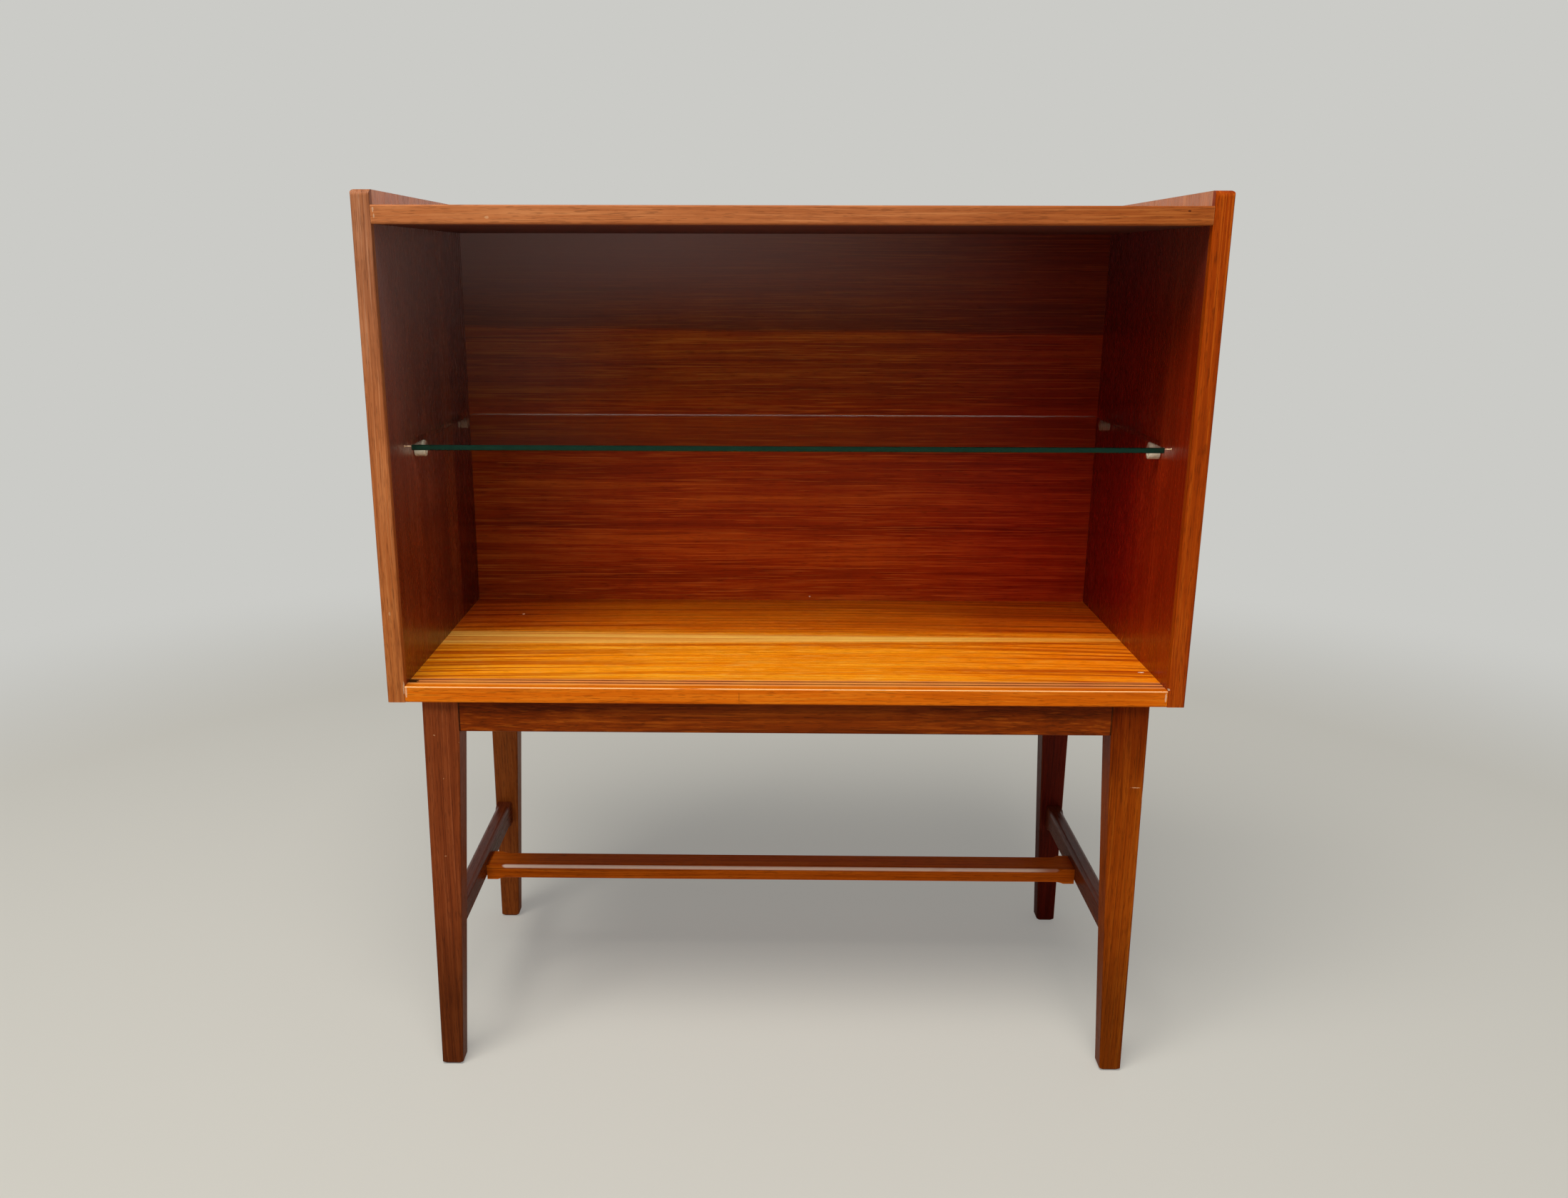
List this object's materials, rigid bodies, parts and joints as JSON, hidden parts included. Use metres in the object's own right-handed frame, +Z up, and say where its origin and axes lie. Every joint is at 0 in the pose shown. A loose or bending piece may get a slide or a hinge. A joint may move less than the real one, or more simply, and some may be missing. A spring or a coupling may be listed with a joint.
{
  "type": "bookcase",
  "caption": "Open wooden bookcase with a loose glass shelf, on a stand whose tapered legs are joined by an H of stretchers.",
  "frame": {"origin": "on the floor, under the middle of the carcass", "axes": "+Z up, +X to the right as seen from the front, the open front faces -Y"},
  "size_m": [0.72, 0.345, 0.817],
  "materials": {
    "carcass_teak": "oiled veneer",
    "lipping_teak": "oiled",
    "back_teak": "oiled veneer",
    "stand_teak": "oiled",
    "glass": "polished",
    "steel": "plain",
    "white_plastic": "matte",
    "dowel_wood": "bare"
  },
  "bodies": {
    "case": {"left_side": "carcass_teak", "right_side": "carcass_teak", "top_board": "carcass_teak", "bottom_board": "carcass_teak", "left_side_lipping": "lipping_teak", "right_side_lipping": "lipping_teak", "top_board_lipping": "lipping_teak", "bottom_board_lipping": "lipping_teak", "back_panel": "back_teak", "front_left_leg": "stand_teak", "front_right_leg": "stand_teak", "rear_left_leg": "stand_teak", "rear_right_leg": "stand_teak", "front_apron": "stand_teak", "rear_apron": "stand_teak", "left_apron": "stand_teak", "right_apron": "stand_teak", "left_stretcher": "stand_teak", "right_stretcher": "stand_teak", "long_stretcher": "stand_teak", "front_left_shelf_peg": "steel", "front_right_shelf_peg": "steel", "rear_left_shelf_peg": "steel", "rear_right_shelf_peg": "steel", "back_panel_pins": "steel", "stand_screws": "steel", "front_left_peg_sleeve": "white_plastic", "front_right_peg_sleeve": "white_plastic", "rear_left_peg_sleeve": "white_plastic", "rear_right_peg_sleeve": "white_plastic", "carcass_dowels": "dowel_wood", "apron_dowels": "dowel_wood", "side_stretcher_dowels": "dowel_wood", "long_stretcher_dowels": "dowel_wood"},
    "shelf": {"glass_shelf": "glass"}
  },
  "joints": [
    {"name": "shelf_slide", "type": "slide", "parent": "case", "child": "shelf", "axis": [0, -1, 0], "range_m": [0, 0.33]}
  ]
}
